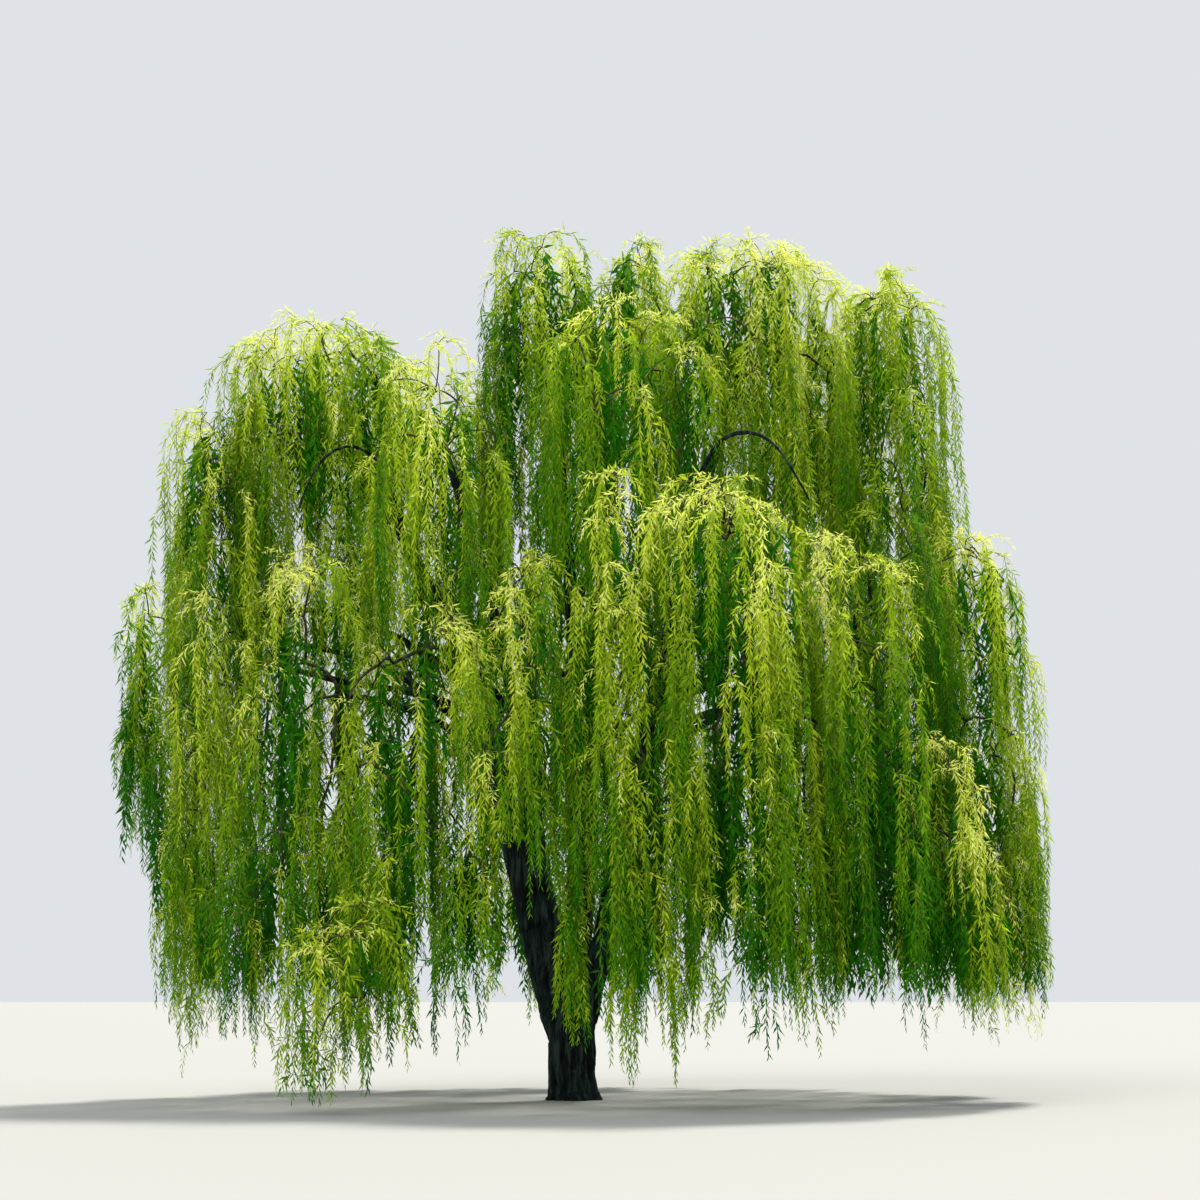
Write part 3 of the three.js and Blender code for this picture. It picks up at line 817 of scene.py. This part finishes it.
def leaves_on(group, paths, spacing, angles, size):
    """Folded, pointed leaves along each strand, turned round it, with their tips out and down."""
    counts = np.maximum((group.length / (spacing * group.leaf)).astype(int), 1)
    strand = np.repeat(np.arange(len(counts)), counts)
    place = np.arange(counts.sum()) - np.repeat(np.cumsum(counts) - counts, counts)
    own = group.picked(strand)
    total = len(strand)
    share = (place + drawn(LEAF_PLACES, total)) / counts[strand]
    foot, along = between(paths, strand, share)
    round_angle = LEAF_ROUND * place + STRAND_ROUND * strand + random.normal(0, ROUND_SPREAD, total)
    across = unit(np.cross(along, unit(random.normal(size=(1, 3)))))
    other = np.cross(along, across)
    side = np.cos(round_angle)[:, None] * across + np.sin(round_angle)[:, None] * other
    closed = LEAF_CLOSING[0] - LEAF_CLOSING[1] * share
    angle = (drawn(angles, total) * closed)[:, None]
    way = unit(np.cos(angle) * along + np.sin(angle) * side - LEAF_DROOP * UP)
    open_side = unit(foot * (1, 1, 0)) + LEAF_UP * UP
    open_side = open_side + random.normal(0, LEAF_TURN, (total, 3))
    face = unit(open_side - (open_side * way).sum(-1, keepdims=True) * way)
    edge = np.cross(face, way)
    fade = (1 - TIP_FADE * share**3) * own.leaf
    long = (LEAF_LENGTH * size * fade * drawn(LEAF_LENGTHS, total))[:, None]
    broad = own.leaf**BROADER
    wide = (LEAF_WIDTH * size * fade * broad * drawn(LEAF_WIDTHS, total))[:, None]
    belly = foot + way * long * LEAF_WIDEST + face * wide * LEAF_FOLD
    corners = np.stack([foot, belly + edge * wide / 2, foot + way * long, belly - edge * wide / 2], 1)
    # Painted shade: the further below its lock's head a leaf is, the darker its tint
    drop = own.drop + share * own.length
    shade_below_head = np.array([PAINTED_SHADE_BELOW_HEAD[SLOTS[name]] for name in MASSES])[own.mass.astype(int)]
    light = own.light - shade_below_head * np.minimum(drop, DARKENS_FOR)
    light = light + random.normal(0, LEAF_LIGHT_SPREAD, total)
    tint = (np.clip(light, 0, 0.999) * len(TINTS)).astype(int)
    return strand, tint, corners


def stands_before(points, low, high, furthest):
    """Whether each point is in the way of a view, at any height."""
    return (points[..., 0] > low) & (points[..., 0] < high) & (points[..., 1] < furthest)


def one_of(chosen, range_if, range_else):
    """Random numbers, from the first range where an entry is chosen and else from the second."""
    first = drawn(range_if, len(chosen))
    return np.where(chosen, first, drawn(range_else, len(chosen)))


def lock_group(starts, heading, length, light, kinds, top, mass):
    """Main strands with the given starts and looks. Those on a crest rise first."""
    count = len(starts)
    return Strands(
        start=starts,
        heading=heading,
        rise=one_of(top, *LOCK_RISE),
        bend=one_of(top, *LOCK_BEND),
        length=length,
        radius=np.full(count, STRAND_RADIUS * THICKNESS["main"]),
        phase=random.uniform(0, TURN, count),
        sway=drawn(SWAY_SHARES, count) * SWAY,
        light=light,
        kind=kinds,
        leaf=LEAF_SIZES[kinds],
        drop=np.zeros(count),
        top=top,
        mass=mass,
    )


def grow_locks(name):
    """The main strands of a mass's locks."""
    _, lighter, lower = UNLIKE.get(name, LIKE_THE_OTHERS)
    points = mass_arrays[name][0]
    low, high = points.min(0), points.max(0)
    spots, ways, kinds, depths = lock_places(name)
    count = len(spots)
    top = (ways[:, 2] > CREST_SLOPE) & (kinds != CORE)
    starts = spots - ways * depths[:, None]
    room = np.empty(count)
    for i, start in enumerate(starts):
        under = mass_trees[name].ray_cast(Vector(start), Vector(-UP))[0]
        room[i] = start[2] - (under.z if under else low[2] + BELOW_NOTHING)
    room += drawn(BELOW_THE_MASS, count) + (BELOW_AN_UPPER_MASS if name in UPPER else 0)
    room = np.minimum(room + lower, starts[:, 2] - LOWEST_TIP)
    usual = drawn(USUAL_LENGTH, count)
    length = np.where(random.random(count) < LONG_SHARE, drawn(LONG_LENGTH, count), usual)
    short = top & (random.random(count) < SHORT_SHARE)
    length = np.where(short, drawn(SHORT_LENGTH, count), length)
    length = np.minimum(length, room)
    for *view, view_top, crossing in VIEWS_THROUGH:
        stopped = stands_before(starts, *view) & (random.random(count) > crossing)
        length = np.where(stopped, np.minimum(length, starts[:, 2] - view_top), length)
    out = np.where(top[:, None], starts - (low + high) / 2, ways)
    heading = np.arctan2(out[:, 1], out[:, 0])
    # Painted light and shade: leaves are lighter high in the mass and where its face looks up, and darker
    # on the side towards the trunk, in the core and on the shaded share of the locks
    height = (spots[:, 2] - low[2]) / (high[2] - low[2])
    light = LIGHT_AT_THE_HEM + LIGHT_OF_HEIGHT * height + LIGHT_OF_A_CREST * np.clip(ways[:, 2], 0, 1)
    light = light - PAINTED_SHADE_OF_KIND[kinds] + LIGHT_OF_A_SLOT[SLOTS[name]] + lighter
    light = light + random.normal(0, LIGHT_SPREAD["lock"], count)
    light = light - SHADE * (random.random(count) < SHADED_SHARE)
    heading = heading + random.normal(0, HEADING_SPREAD["lock"], count)
    group = lock_group(starts, heading, length, light, kinds, top, np.full(count, MASSES.index(name)))
    return group.picked(length > SHORTEST_LOCK)


def grow_sides(mains, paths):
    """The twigs that leave each lock's main strand and hang beside it."""
    counts = random.integers(SIDE_TWIGS[0], SIDE_TWIGS[1] + 1, len(mains.length))
    counts = counts * np.clip(mains.length / SIDES_FOR, *SIDES_SHARE)
    counts = counts * TWIG_SHARES[mains.kind.astype(int)]
    row = np.repeat(np.arange(len(counts)), np.maximum(1, counts.astype(int)))
    lock = mains.picked(row)
    total = len(row)
    share = drawn(SIDE_PLACES, total) ** SIDE_CROWDING
    rest = lock.length * (1 - share)
    return Strands(
        start=between(paths, row, share)[0],
        heading=random.uniform(0, TURN, total),
        rise=drawn(SIDE_RISE, total),
        bend=drawn(SIDE_BEND, total),
        length=np.maximum(SHORTEST_SIDE, rest * drawn(SIDE_LENGTH, total)),
        radius=np.full(total, STRAND_RADIUS),
        phase=lock.phase,
        sway=lock.sway,
        light=lock.light + random.normal(0, LIGHT_SPREAD["side"], total),
        leaf=lock.leaf,
        drop=share * lock.length,
        mass=lock.mass,
    )


def grow_sprigs(mains, paths, arches):
    """Short shoots that spring out round each lock's head and along the twig that leads to it."""
    counts = np.where(mains.top > 0, SPRIGS_ON_A_CREST, SPRIGS_ON_A_SIDE)
    counts = np.where(mains.kind >= CORE, 0, counts)
    counts = counts + np.where(random.random(len(counts)) < LEAFY_SHARE, SPRIGS_ON_A_LEAFY_LOCK, 0)
    row = np.repeat(np.arange(len(counts)), counts)
    lock = mains.picked(row)
    total = len(row)
    along = random.uniform(0, np.where(random.random(total) < HEAD_SHARE, HEAD_LENGTH, SPRIGS_REACH))
    start, _ = between(paths, row, np.minimum(along / lock.length, LAST_SPRIG))
    mark = random.uniform(1, TWIG_POINTS - 1.001, total)
    low = mark.astype(int)
    on_arch = arches[row, low] + (mark - low)[:, None] * (arches[row, low + 1] - arches[row, low])
    head = along < HEAD_LENGTH
    start = np.where(((random.random(total) < ARCH_SHARE) & head)[:, None], on_arch, start)
    top = lock.top > 0
    rise = one_of(top, *SPRIG_RISE)
    bend = one_of(top, *SPRIG_BEND)
    # Painted light: sprigs are lighter than their lock, most round its head
    least, most_at_the_head, most_below = SPRIG_LIGHT
    return Strands(
        start=start,
        heading=lock.heading + random.normal(0, HEADING_SPREAD["sprig"], total),
        rise=np.where(head, rise, drawn(LOW_SPRIG_RISE, total)),
        bend=np.where(head, bend, drawn(LOW_SPRIG_BEND, total)),
        length=np.clip(start[:, 2] - 2 * LOWEST_TIP, SHORTEST_SPRIG, drawn(SPRIG_LENGTH, total)),
        radius=np.full(total, STRAND_RADIUS * THICKNESS["sprig"]),
        phase=lock.phase,
        sway=np.zeros(total),
        light=lock.light + random.uniform(least, np.where(head, most_at_the_head, most_below)),
        leaf=lock.leaf,
        drop=SPRIG_DROP * along,
        mass=lock.mass,
    )


# How the twigs inside a mass branch, from the bough that enters it to each lock
tips = {name[len("bough_to_") :]: axis for name, axis in bough_axes.items()}
limb_tips = np.array([line[-1] for line, _ in limb_axes.values()])
all_nodes = []


def grow_twigs(name, starts):
    """Twigs that join each start to the nearest twig, the nearest starts first."""
    from_limbs = norm(limb_tips - mass_arrays[name][0].mean(0), axis=1)
    if name in tips:
        nodes = [tips[name][0][-1]]
    elif from_limbs.min() < NEAR_A_LIMB:
        nodes = [limb_tips[from_limbs.argmin()]]
    else:
        grown = np.array(all_nodes)
        nodes = [grown[norm(grown - starts.mean(0), axis=1).argmin()]]
    order = np.argsort(norm(starts - nodes[0], axis=1))
    parents, travelled = [-1], [0.0]
    for i in order:
        gaps = norm(np.array(nodes) - starts[i], axis=1)
        parent = int((gaps + TWIG_DETOUR * np.array(travelled)).argmin())
        nodes.append(starts[i])
        parents.append(parent)
        travelled.append(travelled[parent] + gaps[parent])
    carried = np.ones(len(nodes))
    for i in range(len(nodes) - 1, 0, -1):
        carried[parents[i]] += carried[i]
    all_nodes.extend(nodes)
    nodes, parents = np.array(nodes), np.array(parents)
    start = nodes[parents[1:]]
    way = nodes[1:] - start
    span, level = norm(way, axis=1), norm(way[:, :2], axis=1)
    shares = np.linspace(0, 1, TWIG_POINTS)[None, :, None]
    bow = TWIG_BOW * level[:, None] * UP + random.normal(0, TWIG_WANDER, (len(way), 3)) * span[:, None]
    paths = start[:, None] + way[:, None] * shares + 4 * bow[:, None] * shares * (1 - shares)
    thick = TWIG_RADIUS * carried**TWIG_GROWTH
    foot = thick[parents[1:]] * TWIG_FORK + thick[1:] * (1 - TWIG_FORK)
    radii = np.linspace(foot, thick[1:] * TWIG_THINNING, TWIG_POINTS, axis=1)
    across = level_across(np.arctan2(way[:, 1], way[:, 0]))
    arches = np.empty_like(paths)
    arches[order] = paths
    return tubes(paths, radii, TWIG_SIDES, across), arches


def kept_inside(group, spare):
    """The group with smaller bends where a strand would leave the CAD's box by more than spare."""
    ways = level_way(group.heading)
    low, high = np.array(cad_box)[:, :2]
    ends = np.where(ways > 0, high + spare, low - spare)
    ways = np.where(np.abs(ways) < LEAST_WAY, LEAST_WAY, ways)
    room = ((ends - group.start[:, :2]) / ways).min(1)
    group.bend = np.clip(room / REACH_OF_A_BEND, SMALLEST_BEND, group.bend)
    return group


def out_of_views(group):
    """The group with nearly all strands that would cross a view through the foliage ended above it."""
    for *view, view_top, crossing in VIEWS_THROUGH[:NARROW_VIEWS]:
        paths = hang(group)
        crosses = stands_before(paths, *view) & (paths[..., 2] < view_top)
        stopped = crosses.any(1) & (random.random(len(crosses)) > crossing)
        above = np.maximum(group.start[:, 2] - view_top, SHORTEST_STUB)
        group.length = np.where(stopped, np.minimum(group.length, above), group.length)
    return group


def stacked(groups):
    columns = {name: [vars(group)[name] for group in groups] for name in vars(groups[0])}
    return Strands(**{name: np.concatenate(parts) for name, parts in columns.items()})


def leaf_area(size):
    return LEAF_LENGTH * LEAF_WIDTH / 2 * size ** (1 + BROADER)


def cover_maps(mains, sides):
    """A map for each sight: how many leaves a line meets, by where it crosses the trunk's plane."""
    maps = np.zeros((len(SIGHTS), COVER_CELLS, COVER_CELLS))
    for group in (mains, sides):
        paths = hang(group)
        middles = (paths[:, 1:] + paths[:, :-1]) / 2
        lengths = norm(np.diff(paths, axis=1), axis=2)
        cover = COVER_SHARE * lengths / LEAF_SPACING * leaf_area(group.leaf[:, None]) / COVER_CELL**2
        for seen, sight in zip(maps, SIGHTS):
            np.add.at(seen, cells_seen(middles, *sight), cover)
    return maps


def cells_seen(points, degrees, eye):
    """The cells of a sight's map in which points are seen."""
    angle = math.radians(degrees)
    right = points[..., 0] * math.cos(angle) + points[..., 1] * math.sin(angle)
    near = points[..., 0] * math.sin(angle) - points[..., 1] * math.cos(angle)
    scale = SIGHT_DISTANCE / (SIGHT_DISTANCE - near)
    across = right * scale / COVER_CELL + COVER_CELLS / 2
    up = (eye + (points[..., 2] - eye) * scale) / COVER_CELL + COVER_CELLS / 4
    return tuple(np.clip(np.floor(place).astype(int), 0, COVER_CELLS - 1) for place in (across, up))


def places_inside(name):
    """Random places well inside a mass."""
    low, high = mass_arrays[name][0].min(0), mass_arrays[name][0].max(0)
    inside = []
    tree = mass_trees[name]
    for place in random.uniform(low, high, (FILLER_TRIES, 3)):
        above, normal, _, _ = tree.ray_cast(Vector(place), Vector(UP))
        if above and normal.z > 0 and tree.find_nearest(Vector(place))[3] > FILLER_DEPTH:
            inside.append(place)
    return np.array(inside).reshape(-1, 3)


def grow_fillers(mains, sides):
    """Main strands inside the masses, each where it closes most of the gaps left."""
    inside = [places_inside(name) for name in MASSES]
    starts = np.concatenate(inside)
    mass = np.repeat(np.arange(len(MASSES)), [len(places) for places in inside])
    length = drawn(FILLER_LENGTH, len(starts))
    steps = np.arange(int(FILLER_LENGTH[1] / COVER_CELL) + 1) * COVER_CELL
    heights = starts[:, 2:] - steps
    lowest = np.full(len(starts), COVER_FLOOR)
    for *view, view_top, _ in VIEWS_THROUGH:
        lowest[stands_before(starts, *view)] = view_top
    length = np.minimum(length, starts[:, 2] - lowest)
    length[length < SHORTEST_LOCK] = 0
    hangs = (steps < length[:, None]) & (heights > lowest[:, None])
    line = np.stack([*np.broadcast_arrays(starts[:, :1], starts[:, 1:2], heights)], -1)
    cells = [cells_seen(line, *sight) for sight in SIGHTS]
    maps = cover_maps(mains, sides)
    twigs = 1 + np.mean(SIDE_TWIGS) * TWIG_SHARES[FILLER]
    added = COVER_SHARE * twigs / LEAF_SPACING * leaf_area(LEAF_SIZES[FILLER]) / COVER_CELL
    picked = []
    for _ in range(FILLERS):
        missing = sum(np.clip(COVER_WANTED - seen[places], 0, None) for seen, places in zip(maps, cells))
        gain = (missing * hangs).sum(1)
        gain[picked] = 0
        best = int(gain.argmax())
        if gain[best] < SMALLEST_GAIN:
            break
        picked.append(best)
        own = hangs[best]
        for seen, (across, up) in zip(maps, cells):
            np.add.at(seen, (across[best, own], up[best, own]), added)
    count = len(picked)
    kinds = np.full(count, FILLER)
    # Painted shade: a filling lock deep in the crown is darker
    light = LIGHT_AT_THE_HEM - PAINTED_SHADE_OF_KIND[FILLER] + random.normal(0, LIGHT_SPREAD["filler"], count)
    heading = random.uniform(0, TURN, count)
    return lock_group(starts[picked], heading, length[picked], light, kinds, kinds == OPEN, mass[picked])


def grow_tresses():
    """The locks of the front peak that hang low before the fork."""
    starts = random.uniform(*zip(TRESS_X, TRESS_Y, TRESS_TOP), (TRESSES, 3))
    length = starts[:, 2] - drawn(TRESS_TIP, TRESSES)
    kinds = np.full(TRESSES, OPEN)
    light = random.normal(TRESS_LIGHT, LIGHT_SPREAD["tress"], TRESSES)
    heading = random.normal(-math.pi / 2, HEADING_SPREAD["tress"], TRESSES)
    mass = np.full(TRESSES, MASSES.index("front_peak"))
    return lock_group(starts, heading, length, light, kinds, kinds != OPEN, mass)


mass_locks = []
for index, name in enumerate(MASSES):
    random = np.random.default_rng([SEED, index])
    mass_locks.append(grow_locks(name))
mass_locks.append(grow_tresses())
mains = stacked(mass_locks)
random = np.random.default_rng(SEED)
fillers = grow_fillers(mains, grow_sides(mains, hang(mains)))
mains = out_of_views(kept_inside(stacked([mains, fillers]), SPARE["main"]))
main_paths = hang(mains)
twig_parts = []
arches = np.empty((len(mains.length), TWIG_POINTS, 3))
for name in sorted(MASSES, key=lambda name: name not in tips):
    own = mains.mass == MASSES.index(name)
    twigs, arches[own] = grow_twigs(name, mains.start[own])
    twig_parts.append(twigs)
sides = out_of_views(kept_inside(grow_sides(mains, main_paths), SPARE["side"]))
sprigs = out_of_views(kept_inside(grow_sprigs(mains, main_paths, arches), SPARE["sprig"]))

# The pieces of foliage
new_piece("twigs", new_mesh("twigs", *joined(twig_parts)), twig_bark)
groups = [
    (mains, MAIN_MARKS, LEAF_SPACING, LEAF_ANGLES, 1.0),
    (sides, SIDE_MARKS, LEAF_SPACING, LEAF_ANGLES, 1.0),
    (sprigs, SPRIG_MARKS, SPRIG_SPACING, SPRIG_LEAF_ANGLES, SPRIG_LEAF_SIZE),
]
leaf_sets = {}
stem_sets = {slot: [] for slot in PAINTED_SHADE_BELOW_HEAD}
slot_of = np.array([SLOTS[name] for name in MASSES])
for group, marks, spacing, angles, size in groups:
    paths = hang(group)
    strand, tint, corners = leaves_on(group, paths, spacing, angles, size)
    slots = slot_of[group.mass.astype(int)]
    for slot in stem_sets:
        own = slots == slot
        stem_sets[slot].append(strand_tubes(group.picked(own), paths[own], marks))
        for index in range(len(TINTS)):
            chosen = corners[own[strand] & (tint == index)]
            leaf_sets.setdefault((slot, index), []).append(chosen)

for (slot, index), sets in leaf_sets.items():
    corners = np.concatenate(sets)
    faces = (TWO_FACES + 4 * np.arange(len(corners))[:, None, None]).reshape(-1, 3)
    name = f"leaves_{slot.split('_')[0]}_{TINTS[index][0]}"
    mesh = new_mesh(name, corners.reshape(-1, 3), faces, smooth=False)
    replaced = [mass for mass in MASSES if SLOTS[mass] == slot] if index == STANDS_FOR_MASSES else ()
    new_piece(name, mesh, leaf_materials[index], replaced)
for slot, parts in stem_sets.items():
    name = "stems_" + slot.split("_")[0]
    new_piece(name, new_mesh(name, *joined(parts)), stem)

# The set and the camera
floor_mesh = new_mesh(
    "floor",
    np.array([[-1, -1, 0], [1, -1, 0], [1, 1, 0], [-1, 1, 0]]) * FLOOR_SIZE / 2,
    TWO_FACES,
)
floor = new_object("floor", floor_mesh)
floor_material, _, floor_shader = new_material("floor", Roughness=0.9)
set_inputs(floor_shader, {"Base Color": FLOOR_COLOUR})
floor_mesh.materials.append(floor_material)

world = bpy.data.worlds.new("studio")
world.use_nodes = True
set_inputs(world.node_tree.nodes["Background"], {"Color": SKY_COLOUR, "Strength": SKY_STRENGTH})
bpy.context.scene.world = world


def add_sun(name, strength, spread, elevation, azimuth, colour):
    """A soft light from far away. azimuth is counted from -Y, the side that is seen, towards +X."""
    lamp = bpy.data.lights.new(name, "SUN")
    lamp.energy = strength
    lamp.angle = math.radians(spread)
    lamp.color = colour
    sun = new_object(name, lamp)
    sun.rotation_euler = (math.radians(90 - elevation), 0, math.radians(azimuth))


add_sun("key", strength=5.3, spread=9, elevation=62, azimuth=155, colour=(1.0, 0.97, 0.88))
add_sun("fill", strength=2.0, spread=40, elevation=38, azimuth=-30, colour=(1.0, 0.98, 0.93))

camera_data = bpy.data.cameras.new("camera")
camera_data.lens = CAMERA_LENS
camera_data.clip_end = 1000
camera = new_object("camera", camera_data)
camera.location = CAMERA_PLACE
camera.rotation_euler = (math.radians(90 + CAMERA_PITCH), 0, 0)
bpy.context.scene.camera = camera
bpy.context.scene.view_settings.view_transform = "Standard"
